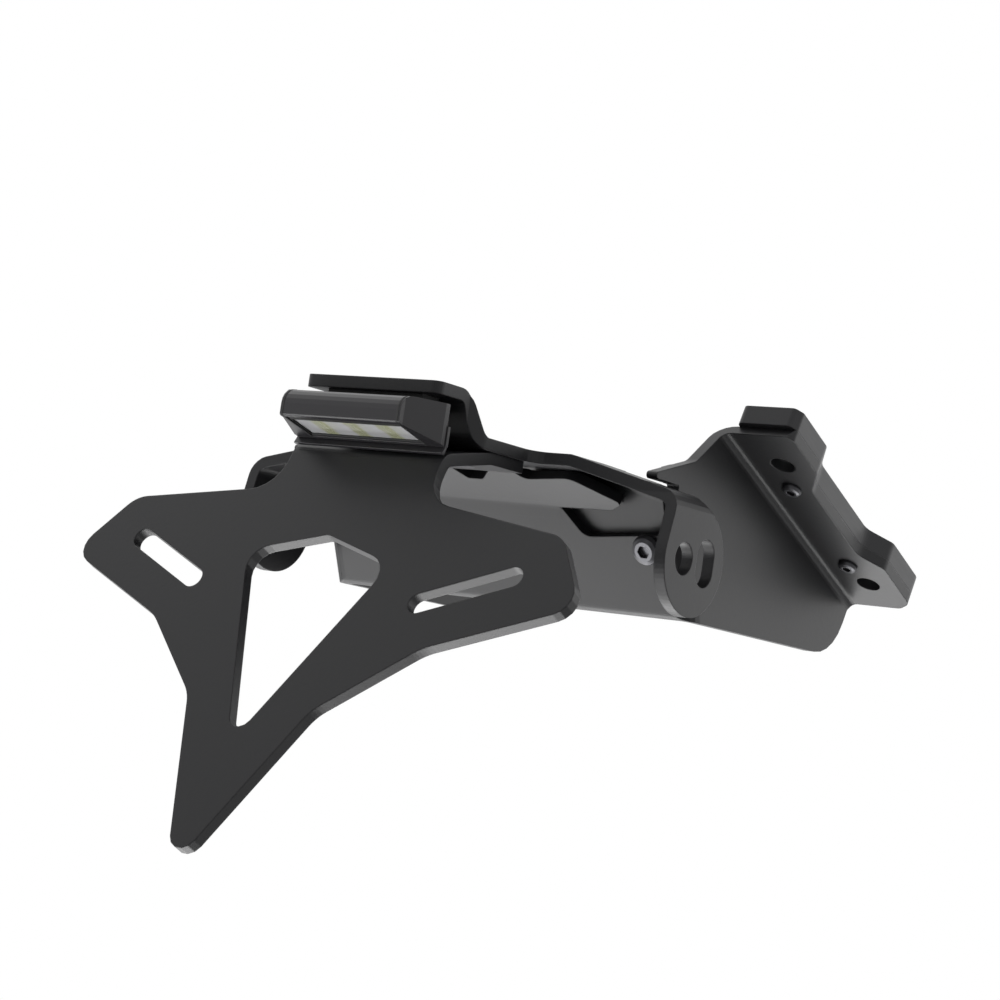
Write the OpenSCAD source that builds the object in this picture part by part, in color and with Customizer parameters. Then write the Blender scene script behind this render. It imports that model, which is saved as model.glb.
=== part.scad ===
// Tail tidy for a motorcycle: number plate bracket, indicator bracket, mounting bracket and plate lamp.
// +Y points to the front of the motorcycle, +Z up. The origin is the middle of the four mounting holes,
// on the level of the mounting faces.

/* [Sheets] */
// Thickness of the number plate bracket
plate_t = 4; // [3:0.5:4.5]
// Thickness of the indicator bracket
cross_t = 4; // [3:0.5:4.5]
// Thickness of the mounting bracket
mount_t = 4; // [3:0.5:4.5]
// Inside radius of the folds
fold_r = 3; // [2:0.5:3.5]
// Clearance between pieces that pass each other
gap = 0.4; // [0.3:0.1:0.6]

/* [Number plate bracket] */
// Lean of the plate from upright, top forward
plate_lean = 2.5; // [0:0.5:5]
// Width of the neck
neck_w = 60; // [56:1:62]
// Height of the fold at the top of the neck
neck_bend_z = 0.8; // [0:0.2:1.4]
// Half width at the upper corner of a wing
wing_x = 85.7; // [80:0.5:92]
// Depth of the upper corner of a wing below the neck
wing_z = 24.9; // [22:0.5:27]
// Half width at the tip of a wing
tip_x = 101; // [97:0.5:106]
// Depth of the tip of a wing
tip_z = 47.9; // [46:0.5:51]
// Half width at the first waist below the wings
waist_x = 53.4; // [50:0.5:56]
// Depth of the first waist
waist_z = 67.5; // [66:0.5:70]
// Half width at the second waist
tail_x = 24.4; // [22:0.5:27]
// Depth of the second waist
tail_z = 92.8; // [91:0.5:96]
// Depth at which the sides of the lower point would meet
point_z = 151; // [146:1:158]
// Radius of the lower point
point_r = 5.2; // [4:0.2:7]
// Half width of the kite opening
kite_x = 28.8; // [24:0.2:29]
// Depth of the widest place of the kite opening
kite_z = 40.3; // [39:0.5:43]
// Depth of the top corner of the kite opening
kite_top_z = 32.1; // [30:0.5:34]
// Depth of the bottom corner of the kite opening
kite_low_z = 108.3; // [104:0.5:111]
// Radius of the side corners of the kite opening
kite_r = 7.4; // [4:0.2:8]
// Radius of the bottom corner of the kite opening
kite_low_r = 4.4; // [2:0.2:5]
// Distance of a plate slot from the middle
slot_x = 59.6; // [57:0.5:62]
// Depth of a plate slot
slot_z = 46.4; // [45:0.2:48]
// Width of a plate slot
slot_w = 7; // [5:0.2:8]
// Length of a plate slot between the centres of its ends
slot_len = 31.5; // [24:0.5:34]
// Slope of a plate slot
slot_tilt = 23; // [20:1:26]

/* [Indicator bracket] */
// Slope of the stem and of the lamp hood
slope = 23.2; // [21.6:0.2:25]
// Distance of the foot of the hood in front of the plate
foot_y = 13.8; // [12.6:0.2:16]
// Height of the foot of the hood above the neck
foot_z = 16; // [15:0.5:17]
// Width of the hood
hood_w = 54; // [50:1:58]
// Length of the hood along its slope
hood_len = 17.2; // [16:0.2:20]
// Height of the hood above the stem, square to the slope
hood_rise = 13.8; // [13:0.2:16]
// Distance that the top of the hood wall leans back, along the slope
hood_lean = 5.8; // [4:0.2:7]
// Width of the stem
stem_w = 62; // [60:1:66]
// Distance of the cross strip from the foot, along the slope
strip_u = 28; // [26:0.5:29]
// Width of the cross strip
strip_w = 18; // [16:0.5:19]
// Half width of the level middle of the cross strip
flat_x = 45.5; // [42:0.5:47]
// Fall of the shoulders
shoulder_fall = 13; // [11:0.5:15]
// Distance of an ear's outer face from the middle
ear_x = 88; // [86:0.5:92]
// Radius of an ear
ear_r = 18; // [17:0.5:20]
// Distance of an ear's centre from the foot, along the slope
ear_u = 42.1; // [40:0.5:44]
// Depth of an ear's centre below the stem, square to the slope
ear_w = 29.6; // [28:0.5:33]
// Diameter of the cable hole in an ear
ear_hole_d = 10.5; // [8:0.5:11]
// Width of the indicator slot in an ear
ear_slot_w = 10.5; // [8:0.5:11]
// Length of the indicator slot in an ear
ear_slot_len = 15.5; // [14:0.5:20]
// Distance between the centres of the two openings in an ear
ear_pitch = 13.2; // [13:0.1:14]
// Distance of the sheet's front edge from the foot, along the slope
apron_u = 54; // [50:0.5:56]
// Width of the cable opening in the sheet's front edge
cable_w = 34; // [28:1:38]
// Distance of a joining tab's inner edge from the middle
tab_x = 51; // [50:0.5:53]
// Length of a joining tab below the crease, along the rear panel
tab_len = 20; // [19:0.5:24]

/* [Mounting bracket] */
// Distance of a side wall's outer face from the middle
wall_x = 75; // [73.5:0.5:77]
// Slope of the rear panel
panel_fall = 41; // [39:0.5:43]
// Distance of the crease in front of the plate
crease_y = 65.4; // [64.6:0.2:67]
// Height of the crease above the neck
crease_z = 21.4; // [19:0.2:22]
// Length of the rear panel along its slope
panel_len = 35.6; // [33:0.2:38]
// Half width of the crease
crease_x = 29; // [26:0.5:32]
// Depth of the scoops at the top of the rear panel
scoop = 9; // [6:0.2:9.6]
// Slope of the rear lip
lip_rise = 11; // [9:0.5:12]
// Half width of the rear lip
lip_x = 54.5; // [52:0.5:58]
// Length of the rear lip
lip_len = 15; // [13:0.5:16]
// Height of the underside of the mounting strips above the neck
strip_z = 59; // [57:0.5:62]
// Outer radius of the fold between wall and strip
strip_fold_r = 5; // [4.5:0.5:7]
// Distance of the walls' front edge from the front holes
wall_front = 16; // [15:0.5:18]

/* [Mounting holes] */
// Distance of a mounting hole from the middle
hole_x = 88.9; // [88:0.1:91]
// Distance of the rear holes in front of the plate
hole_y = 91.9; // [91:0.1:94]
// Distance between front and rear holes
hole_pitch = 78.9; // [76:0.1:82]
// Diameter of the mounting holes
hole_d = 8.5; // [6.5:0.1:9]
// Height of a spacer
spacer_h = 6.8; // [6:0.2:12]
// Reach of a spacer past its holes, outward
lug_out = 11.2; // [10:0.2:13]
// Reach of a spacer past its rear hole
lug_rear = 19; // [17:0.5:21]
// Reach of a spacer past its front hole
lug_front = 16.5; // [15:0.5:18]
// Depth of the recess in a spacer's side between its holes
lug_scoop = 7; // [5:0.5:7.5]

/* [Fasteners] */
// Diameter of the small spacer screws
small_d = 4; // [3:0.5:4]
// Diameter of the panel screws and the plate bolts
bolt_d = 6; // [5:0.5:6]
// Clearance of a hole around its fastener
hole_gap = 0.4; // [0.3:0.1:0.6]
// Distance of a plate bolt from the middle
plate_bolt_x = 10; // [8:0.5:12]
// Distance of the plate bolts from the foot, along the slope
plate_bolt_u = 15; // [14:0.5:16]

/* [Lamp] */
// Length of the lamp's housing
lamp_w = 46; // [40:1:48]
// Reach of an end cap past the housing, at the nose
cap_nose = 0.9; // [0.6:0.1:2]
// Reach of an end cap past the housing, at the back
cap_back = 6.6; // [4:0.2:7]
// Depth of the lamp, along the slope
lamp_depth = 17.5; // [16.5:0.1:19]
// Height of the lamp's back
lamp_back_h = 13.5; // [13:0.1:14.5]
// Height of the lamp's nose
lamp_nose_h = 9; // [8.6:0.1:10]
// Wall of the housing
lamp_wall = 1.5; // [1.2:0.1:1.8]
// Thickness of the pad between lamp and hood
pad_t = 2.8; // [2.4:0.2:3.2]
// Diameter of the lamp's screws
lamp_screw_d = 4; // [3:0.5:4]
// Distance of a lamp screw from the middle
lamp_screw_x = 12; // [10:0.5:14]
// Number of diodes
diodes = 3; // [2:1:5]
// Side of a diode
diode_w = 5; // [4:0.2:6]
// Diameter of the cable grommet's bore
grommet_d = 4; // [3:0.5:4]

/* [Hidden] */
$fn = 32;
big = 400;
arc_steps = 5;

mount_y = hole_y + hole_pitch / 2;
strip_top = strip_z + mount_t;
mount_z = strip_top + spacer_h;
black = [0.13, 0.13, 0.14];
coal = [0.2, 0.2, 0.21];
steel = [0.35, 0.35, 0.37];

// Vectors in a plane
function unit(v) = v / norm(v);
function left_of(v) = [-v[1], v[0]];
function turn(a, b) = a[0] * b[1] - a[1] * b[0];
function meet(p, u, q, v) = p + u * turn(q - p, v) / turn(u, v);

// Arc of radius r in the corner a-b-c
function corner(a, b, c, r) =
    let (u = unit(a - b), v = unit(c - b), half = acos(max(-1, min(1, u * v))) / 2)
    r < 0.01 || half > 89.9 ? [b] :
    let (m = b + unit(u + v) * r / sin(half), s = b + u * r / tan(half) - m, e = b + v * r / tan(half) - m,
        a0 = atan2(s[1], s[0]), da = atan2(turn(s, e), s * e))
    [for (i = [0:arc_steps]) m + r * [cos(a0 + da * i / arc_steps), sin(a0 + da * i / arc_steps)]];

// Closed outline with a radius at each point [x, y, radius]
function flat(p) = [p[0], p[1]];
function rounded(p) = let (n = len(p)) [for (i = [0:n - 1])
    each corner(flat(p[(i + n - 1) % n]), flat(p[i]), flat(p[(i + 1) % n]), p[i][2])];

// Right half of an outline, completed with its mirror image
function both_halves(p) = concat(p, [for (i = [len(p) - 1:-1:0])
    if (p[i][0] > 0.001) [-p[i][0], p[i][1], p[i][2]]]);

// Section of a folded sheet: one face follows the path p, the thickness t lies on its left
function side_path(p, t) = let (n = len(p) - 1) [for (i = [0:n])
    i == 0 ? p[0] + t * left_of(unit(p[1] - p[0])) :
    i == n ? p[n] + t * left_of(unit(p[n] - p[n - 1])) :
    let (u = unit(p[i] - p[i - 1]), v = unit(p[i + 1] - p[i]))
    meet(p[i] + t * left_of(u), u, p[i] + t * left_of(v), v)];
function soft_path(p, r, t, on_left) = let (n = len(p) - 1) [for (i = [0:n])
    each i == 0 || i == n ? [p[i]] :
    corner(p[i - 1], p[i], p[i + 1], (turn(p[i] - p[i - 1], p[i + 1] - p[i]) > 0) == on_left ? r : r + t)];
function folded(p, t, r) = let (b = soft_path(side_path(p, t), r, t, true), n = len(b) - 1)
    concat(soft_path(p, r, t, false), [for (i = [n:-1:0]) b[i]]);

// Placing. The plate datum is the top of the neck, on the rear face of the plate
module in_part() { translate([0, -mount_y, -mount_z]) children(); }
module sideways(w) { rotate([90, 0, 90]) linear_extrude(w, center = true) children(); }
module on_slope() { translate([0, foot_y, foot_z]) rotate([slope, 0, 0]) children(); }
module on_panel() { translate([0, crease_y, crease_z]) rotate([-panel_fall, 0, 0]) children(); }
module on_lip() { translate([0, crease_y, crease_z]) rotate([-lip_rise, 0, 0]) children(); }
module two(x) { for (s = [-1, 1]) translate([s * x, 0, 0]) children(); }
module both_sides() {
    children();
    mirror([1, 0, 0]) children();
}
module hexagon(flats, h) { cylinder(d = flats / cos(30), h = h, $fn = 6); }
// Countersunk hole that opens downward at z = 0
module sunk_hole(d, depth) {
    bore = (d + hole_gap) / 2;
    rotate_extrude() polygon([[0, -1], [bore + d / 2 + 1, -1], [bore, d / 2], [bore, depth], [0, depth]]);
}
module ring(d, bore, h) {
    difference() {
        cylinder(d = d, h = h);
        translate([0, 0, -1]) cylinder(d = bore, h = h + 2);
    }
}

// Points of the side view, [y, z]
foot = [foot_y, foot_z];
along = [cos(slope), sin(slope)];
square_to = [-sin(slope), cos(slope)];
function in_side(u, w) = foot + u * along + w * square_to;
hood_u = -hood_lean - hood_len;
plate_up = [sin(plate_lean), cos(plate_lean)];
neck_bend = neck_bend_z * plate_up / plate_up[1];
foot_fold = fold_r + cross_t;

// Number plate bracket
tongue_u = plate_bolt_u + 9;
plate_half = [[neck_w / 2, big / 8, 0], [neck_w / 2, -6, 0], [neck_w / 2 + 1, -16.6, 12],
    [wing_x, -wing_z, 9.7], [tip_x, -tip_z, 7], [waist_x, -waist_z, 20], [tail_x, -tail_z, 15],
    [0, -point_z, point_r]];
kite_half = [[0, -kite_top_z, 4.6], [kite_x, -kite_z, kite_r], [0, -kite_low_z, kite_low_r]];
module plate_slot() {
    translate([slot_x, 0, -slot_z]) rotate([90, -slot_tilt, 0])
        two(slot_len / 2) cylinder(d = slot_w, h = 4 * plate_t, center = true);
    translate([slot_x, 0, -slot_z]) rotate([0, -slot_tilt, 0])
        cube([slot_len, 4 * plate_t, slot_w], center = true);
}
module plate_outline() {
    rotate([90 - plate_lean, 0, 0]) linear_extrude(big / 2, center = true) difference() {
        polygon(rounded(both_halves(plate_half)));
        polygon(rounded(both_halves(kite_half)));
    }
}
module folded_plate() {
    sideways(big) polygon(folded([in_side(tongue_u, -cross_t), in_side(plate_bolt_u - 9, -cross_t),
        neck_bend, -1.2 * point_z * plate_up], plate_t, fold_r));
}
module number_plate_bracket() color(black) in_part() difference() {
    intersection() {
        folded_plate();
        plate_outline();
    }
    rotate([-plate_lean, 0, 0]) both_sides() plate_slot();
    at_plate_bolts() translate([0, 0, -stack_plate]) sunk_hole(bolt_d, 2 * plate_t);
}
module at_plate_bolts() { on_slope() two(plate_bolt_x) translate([0, plate_bolt_u, 0]) children(); }

// Indicator bracket
ear_top = -(ear_x - flat_x) * tan(shoulder_fall);
wall_angle = atan2(hood_rise, -hood_lean);
panel_out = [sin(panel_fall), cos(panel_fall)];
tab_edge = wall_x - mount_t - fold_r - gap;
screw_x = tab_edge - bolt_d / 2 - 2.2;
screw_p = 12;
// Depth at which a face lies under the face that it continues
skin = 0.01;
module ear_outline() {
    hull() {
        translate([ear_u, -ear_w]) circle(ear_r, $fn = 72);
        translate([strip_u, ear_top - 2]) square([strip_w, 2]);
    }
    translate([strip_u, ear_top - 1]) square([strip_w, big / 4]);
}
module ear_openings() {
    for (s = [-1, 1]) translate([0, ear_u + s * ear_pitch / 2, -ear_w]) rotate([0, 90, 0])
        if (s < 0) cylinder(d = ear_hole_d, h = 3 * ear_x, center = true);
        else two((ear_slot_len - ear_slot_w) / 2) cylinder(d = ear_slot_w, h = 3 * ear_x, center = true);
    translate([0, ear_u + ear_pitch / 2, -ear_w])
        cube([3 * ear_x, ear_slot_w, ear_slot_len - ear_slot_w], center = true);
}
module cross_strip() {
    low = -ear_w - ear_r - 5;
    intersection() {
        translate([0, big / 2, 0]) rotate([90, 0, 0]) linear_extrude(big)
            polygon(folded([[ear_x, low], [ear_x, ear_top], [flat_x, 0], [-flat_x, 0],
                [-ear_x, ear_top], [-ear_x, low]], cross_t, fold_r));
        sideways(3 * ear_x) ear_outline();
    }
}
module hood_and_stem() {
    x = flat_x - 1.5;
    half = [[hood_w / 2, hood_u, 3], [hood_w / 2, -hood_lean, 0], [stem_w / 2, 0, 3],
        [stem_w / 2, strip_u, 6], [x, strip_u, 0], [x, strip_u + strip_w - 1, 0],
        [tab_x + 1, strip_u + strip_w - 1, 0], [tab_x + 1, apron_u + 1, 0]];
    n = len(half) - 1;
    difference() {
        intersection() {
            sideways(big) polygon(folded([[apron_u, -big / 8], [apron_u, 0], [0, 0], [-hood_lean, hood_rise],
                [hood_u - 9, hood_rise]], cross_t, fold_r));
            translate([0, 0, -big / 2]) linear_extrude(big)
                polygon(rounded(concat(half, [for (i = [n:-1:0]) [-half[i][0], half[i][1], half[i][2]]])));
        }
        translate([-cable_w / 2, apron_u - cross_t - fold_r - 1, -big / 4]) cube([cable_w, big, big / 2]);
        both_sides() translate([flat_x, strip_u, -skin]) rotate([0, shoulder_fall, 0]) cube(big);
    }
}
module joining_tab() {
    n = [sin(shoulder_fall), -cos(shoulder_fall) * sin(slope), cos(shoulder_fall) * cos(slope)];
    m = [0, panel_out[0], panel_out[1]];
    d = -cross(n, m) / norm(cross(n, m));
    e = cross(n, d);
    x = (tab_x + tab_edge) / 2;
    w = -(x - flat_x) * tan(shoulder_fall) - cross_t / cos(shoulder_fall);
    b = meet(in_side(0, w), along, [crease_y, crease_z] + mount_t * panel_out, [panel_out[1], -panel_out[0]]);
    o = [x, b[0], b[1]] + cross_t * n + (n + m) * skin / (1 + n * m);
    a = acos(n * m);
    intersection() {
        multmatrix([[e[0], n[0], d[0], o[0]], [e[1], n[1], d[1], o[1]], [e[2], n[2], d[2], o[2]]])
            linear_extrude(60, center = true)
            polygon(folded([[-12, -cross_t], [0, -cross_t], [60 * cos(a), -cross_t - 60 * sin(a)]],
                cross_t - 2 * skin, fold_r));
        on_panel() translate([tab_x, tab_len - big / 2, -big / 2]) cube([tab_edge - tab_x, big / 2, big]);
    }
    on_panel() translate([0, 0, mount_t + 2 * skin]) linear_extrude(cross_t - 4 * skin)
        polygon(rounded([[crease_x + 2, -3, 2], [tab_x + 5, -3, 0], [tab_x + 5, tab_len, 0],
            [crease_x + 2, tab_len, 4]]));
}
module at_screws() { on_panel() two(screw_x) translate([0, screw_p, 0]) children(); }
module indicator_bracket() color(black) in_part() difference() {
    union() {
        on_slope() cross_strip();
        difference() {
            on_slope() hood_and_stem();
            on_lip() translate([-big / 2, in_side(apron_u - cross_t - fold_r - 1, 0)[0] - crease_y,
                mount_t + gap - big]) cube(big);
        }
        both_sides() joining_tab();
    }
    on_slope() ear_openings();
    at_plate_bolts() translate([0, 0, -2 * cross_t]) cylinder(d = bolt_d + hole_gap, h = 3 * cross_t);
    at_screws() cylinder(d = bolt_d + hole_gap, h = 4 * cross_t);
    at_lamp_screws() rotate([180, 0, 0]) sunk_hole(lamp_screw_d, 2 * cross_t);
    at_grommet() translate([0, 0, -2 * cross_t]) cylinder(d = grommet_d + 1.5, h = 4 * cross_t);
}

// Mounting bracket
panel_end = [crease_y, crease_z] + panel_len * [cos(panel_fall), -sin(panel_fall)];
front_y = hole_y + hole_pitch + wall_front;
rear_y = hole_y - lug_rear;
inner_x = wall_x - mount_t + strip_fold_r + 2.5;
fold_reach = (fold_r + mount_t) * tan((panel_fall - lip_rise) / 2) + 0.3;
module wall_side() {
    drop = 0.6;
    over = 2 * gap - (wall_x - mount_t - flat_x) * tan(shoulder_fall);
    end = strip_u + strip_w + 5 * gap;
    polygon(rounded([flatten(in_side(end, over - 7), 0), flatten(in_side(end, over), 0.8),
        flatten(in_side(strip_u - 1, over), 1.2), [crease_y - 1, crease_z + 20.8, 8],
        [rear_y + 3, strip_top + 1, 0], [front_y + 20, strip_top + 1, 0], [front_y + 20, strip_z - drop, 0],
        [front_y, strip_z - drop, 3], [front_y, strip_z - 22, 20], flatten(panel_end, 4)]));
}
function in_panel(p) = [crease_y, crease_z] + p * [cos(panel_fall), -sin(panel_fall)];
function flatten(p, r) = [p[0], p[1], r];
// Outline of a mounting strip and of the spacer on it, from inner edge x
function lug_outline(x) = let (out = hole_x + lug_out, web = out - lug_scoop, end = hole_y + hole_pitch)
    [[x, rear_y, 2], [out - 2, rear_y, 2], [out, rear_y + 3, 2], [out, hole_y + 4, 4], [web, hole_y + 16, 8],
    [web, end - 21, 8], [out, end - 12, 4], [out, end + lug_front - 4, 5], [out - 5, end + lug_front, 4],
    [x, end + lug_front, 2]];
module strip_plan() {
    polygon(rounded(lug_outline(inner_x - 8)));
    translate([0, foot_y]) square([inner_x, front_y - foot_y]);
}
module wall_and_strip() {
    intersection() {
        translate([0, big, 0]) rotate([90, 0, 0]) linear_extrude(big)
            polygon(folded([[wall_x, -big / 4], [wall_x, strip_z], [big / 2, strip_z]],
                mount_t, strip_fold_r - mount_t / 2));
        translate([0, 0, -big / 2]) linear_extrude(big) strip_plan();
    }
}
module channel() {
    on_panel() translate([0, big / 2, 0]) rotate([90, 0, 0]) linear_extrude(big)
        polygon(folded([[-wall_x, 40], [-wall_x, 0], [wall_x, 0], [wall_x, 40]], mount_t, fold_r));
}
module panel_scoop() {
    on_panel() linear_extrude(big / 4, center = true)
        polygon(rounded([[crease_x, -20, 0], [crease_x, -1, 0], [crease_x + 9, scoop + 0.6, 6],
            [wall_x - mount_t - 0.5, scoop - 2.4, 2], [wall_x - mount_t - 0.5, -20, 0]]));
}
lip_half = [[0, -0.75 * lip_len, 0], [3, -0.75 * lip_len, 2], [11, -1.3 * lip_len, 3],
    [15.5, -1.25 * lip_len, 3], [21, -0.86 * lip_len, 5], [39.5, -lip_len, 8], [lip_x + 1, -4.2, 1.5],
    [lip_x - 4, -0.6, 3], [crease_x, 0, 0]];
module rear_lip() {
    n = len(lip_half) - 1;
    difference() {
        on_lip() linear_extrude(mount_t)
            polygon(rounded(concat(lip_half, [for (i = [n:-1:1])
                [-lip_half[i][0], lip_half[i][1], lip_half[i][2]]])));
        on_lip() translate([-crease_x, -fold_reach, -1]) cube([2 * crease_x, big, big]);
        on_slope() translate([-big / 2, -big / 2, -cross_t - gap]) cube(big);
    }
    leg = (fold_reach + 2) * [cos(lip_rise), -sin(lip_rise)];
    lip_out = [sin(lip_rise), cos(lip_rise)];
    under = (lip_out + panel_out) * skin / (1 + lip_out * panel_out);
    difference() {
        sideways(2 * crease_x + 1) polygon(folded([in_panel(0) + under - leg, in_panel(0) + under,
            in_panel(fold_reach + 2) + under], mount_t - 2 * skin, fold_r));
        on_slope() translate([-big / 2, -big / 2, -cross_t - gap]) cube(big);
    }
}
module mounting_bracket() color(black) in_part() difference() {
    union() {
        intersection() {
            union() {
                difference() {
                    channel();
                    both_sides() panel_scoop();
                    on_panel() translate([-crease_x, -big, -big / 2])
                        cube([2 * crease_x, big + fold_reach, big]);
                    on_panel() translate([-big / 2, -big / 2, mount_t + 20]) cube(big);
                }
                both_sides() difference() {
                    wall_and_strip();
                    on_panel() translate([0, -3, -big / 2]) cube([big, big, big / 2 + mount_t + fold_r + 1]);
                }
            }
            sideways(3 * hole_x) wall_side();
        }
        rear_lip();
    }
    both_sides() at_holes() cylinder(d = hole_d, h = big, center = true);
    both_sides() at_small_screws() cylinder(d = small_d + hole_gap, h = big, center = true);
    at_screws() translate([0, 0, -mount_t]) cylinder(d = bolt_d + hole_gap, h = 3 * mount_t);
}

// Spacers
module at_holes() { for (y = [hole_y, hole_y + hole_pitch]) translate([hole_x, y, strip_z]) children(); }
module at_small_screws() {
    translate([hole_x - 3, hole_y + 15, strip_z]) children();
    translate([hole_x - 2.7, hole_y + hole_pitch - 13, strip_z]) children();
}
module spacer() {
    difference() {
        translate([0, 0, strip_top]) linear_extrude(spacer_h) polygon(rounded(lug_outline(inner_x)));
        at_holes() cylinder(d = hole_d, h = big, center = true);
        at_small_screws() translate([0, 0, -1])
            cylinder(d = small_d + 0.04, h = mount_t + 1 + spacer_h - 1.5);
    }
}
module spacer_right() color(coal) in_part() spacer();
module spacer_left() color(coal) in_part() mirror([1, 0, 0]) spacer();

// Fasteners
module button_screw(d, reach) {
    h = 0.5 * d;
    difference() {
        translate([0, 0, -h]) rotate_extrude()
            polygon([[0, 0], [0.55 * d, 0], [0.76 * d, 0.2 * h], [0.875 * d, 0.6 * h],
                [0.875 * d, h], [0, h]]);
        translate([0, 0, -h - 1]) hexagon(0.66 * d, 1 + 0.6 * h);
    }
    cylinder(d = d, h = reach);
}
module flush_screw(d, reach) {
    difference() {
        union() {
            cylinder(d = d, h = reach);
            cylinder(d1 = 2 * d, d2 = d, h = d / 2);
        }
        translate([0, 0, -1]) hexagon(0.62 * d, 1 + 0.35 * d);
    }
}
module nut(d) {
    difference() {
        intersection() {
            hexagon(1.66 * d, 0.85 * d);
            translate([0, 0, -0.6 * d]) cylinder(d1 = 3.2 * d, d2 = 1.6 * d, h = 1.6 * d, $fn = 24);
        }
        translate([0, 0, -1]) cylinder(d = d, h = 2 * d);
    }
}
module spacer_screws() color(steel) in_part() both_sides() at_small_screws()
    button_screw(small_d, mount_t + spacer_h - 3, $fn = 20);
stack_panel = mount_t + cross_t;
stack_plate = plate_t + cross_t;
washer_t = 1.6;
module panel_screws() color(steel) in_part() at_screws()
    button_screw(bolt_d, stack_panel + washer_t + bolt_d + 1);
module panel_washers() color(steel) in_part() at_screws() translate([0, 0, stack_panel])
    ring(2 * bolt_d, bolt_d + hole_gap, washer_t);
module panel_nuts() color(steel) in_part() at_screws() translate([0, 0, stack_panel + washer_t]) nut(bolt_d);
module plate_bolts() color(steel) in_part() at_plate_bolts() translate([0, 0, -stack_plate])
    flush_screw(bolt_d, stack_plate + washer_t + bolt_d + 1);
module plate_washers() color(steel) in_part() at_plate_bolts() ring(2 * bolt_d, bolt_d + hole_gap, washer_t);
module plate_nuts() color(steel) in_part() at_plate_bolts() translate([0, 0, washer_t]) nut(bolt_d);

// Lamp, drawn on the slope: u along it, w square to it
cover_t = 1.2;
lamp_top = hood_rise - cross_t - pad_t;
lamp_low = lamp_top - lamp_back_h;
lamp_u = (-cover_t - foot_y + lamp_low * sin(slope)) / cos(slope);
nose_u = lamp_u - lamp_depth;
nose_low = lamp_top - lamp_nose_h;
foot_u = -11;
lens_tilt = atan2(lamp_low - nose_low, lamp_depth);
lens_run = norm([lamp_depth, lamp_low - nose_low]);
function lamp_side() = rounded([[nose_u, nose_low, 0.8], [nose_u, lamp_top, 5],
    [lamp_u, lamp_top, 0], [lamp_u, lamp_low, 0.6]]);
module on_lens() { on_slope() translate([0, nose_u, nose_low]) rotate([lens_tilt, 0, 0]) children(); }
module along_lens(w, p0, p1, q0, q1) { translate([-w / 2, p0, q0]) cube([w, p1 - p0, q1 - q0]); }
lens_t = 1.6;
board_q = 5.4;
board_t = 1.2;
module at_lamp_screws() {
    on_slope() two(lamp_screw_x) translate([0, (foot_u + lamp_u) / 2 - 0.5, hood_rise]) children();
}
module lamp_housing() color(coal) in_part() difference() {
    union() {
        on_slope() sideways(lamp_w) polygon(lamp_side());
        on_slope() translate([-20, lamp_u - 1, lamp_top - 6]) cube([40, foot_u - lamp_u + 1, 6]);
    }
    on_lens() along_lens(big, lamp_wall, lens_run - lamp_wall, -5, 0.8 + lens_t);
    on_lens() along_lens(big, lamp_wall + 1, lens_run - lamp_wall - 1, 0, board_q + board_t);
    on_lens() along_lens(big, lamp_wall + 2.5, lens_run - lamp_wall - 2.5, 0, board_q + board_t + 1.2);
    at_lamp_screws() translate([0, 0, -cross_t - pad_t - 5]) cylinder(d = lamp_screw_d, h = 20);
}
module cap(s) {
    x = lamp_w / 2;
    on_slope() intersection() {
        sideways(big) polygon(lamp_side());
        linear_extrude(big, center = true) polygon([[s * x, nose_u - 1], [s * (x + cap_nose), nose_u - 1],
            [s * (x + cap_nose), nose_u + 2], [s * (x + cap_back), lamp_u - 2],
            [s * (x + cap_back), lamp_u + 1], [s * x, lamp_u + 1]]);
    }
}
module lamp_cap_right() color(black) in_part() cap(1);
module lamp_cap_left() color(black) in_part() cap(-1);
module lamp_lens() color([0.9, 0.9, 0.88]) in_part() on_lens()
    along_lens(lamp_w, lamp_wall, lens_run - lamp_wall, 0.8, 0.8 + lens_t);
module lamp_board() color([0.8, 0.8, 0.84]) in_part() on_lens()
    along_lens(lamp_w, lamp_wall + 1, lens_run - lamp_wall - 1, board_q, board_q + board_t);
module lamp_diodes() color([0.95, 0.85, 0.4]) in_part() on_lens()
    for (i = [0:diodes - 1])
        translate([(i - (diodes - 1) / 2) * (lamp_w - 7) / diodes, lens_run / 2, board_q - 1.4]) {
            translate([-diode_w / 2, -diode_w / 2, 0.4]) cube([diode_w, diode_w, 1]);
            cylinder(d1 = 0.6 * diode_w, d2 = 0.84 * diode_w, h = 0.5, $fn = 12);
        }
module lamp_back_cover() color(black) in_part() sideways(neck_w)
    polygon([in_side(lamp_u, lamp_top - 7), in_side(lamp_u + cover_t, lamp_top - 7),
        meet(in_side(lamp_u + cover_t, 0), square_to, [-gap, 0], plate_up), [-gap, 0] + 0.1 * plate_up,
        [-gap - cover_t, 0] + 0.1 * plate_up, in_side(lamp_u, lamp_low)]);
module lamp_pad() color(coal) in_part() difference() {
    on_slope() translate([-19, lamp_u - 1, lamp_top]) cube([38, foot_u - lamp_u + 0.6, pad_t]);
    at_lamp_screws() translate([0, 0, -20]) cylinder(d = lamp_screw_d + hole_gap, h = 40);
}
module lamp_screws() color(steel) in_part() at_lamp_screws() rotate([180, 0, 0])
    flush_screw(lamp_screw_d - 0.02, cross_t + pad_t + 4.5);
module at_grommet() {
    on_slope() rotate([wall_angle, 0, 0]) translate([0, norm([hood_lean, hood_rise]) / 2, 0]) children();
}
module lamp_grommet() color(black) in_part() at_grommet() rotate_extrude($fn = 24)
    difference() {
        translate([grommet_d / 2, -1.3]) square([1.4, cross_t + 2.6]);
        translate([grommet_d / 2 + 0.7, -0.1]) square([2, cross_t + 0.2]);
    }

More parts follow.
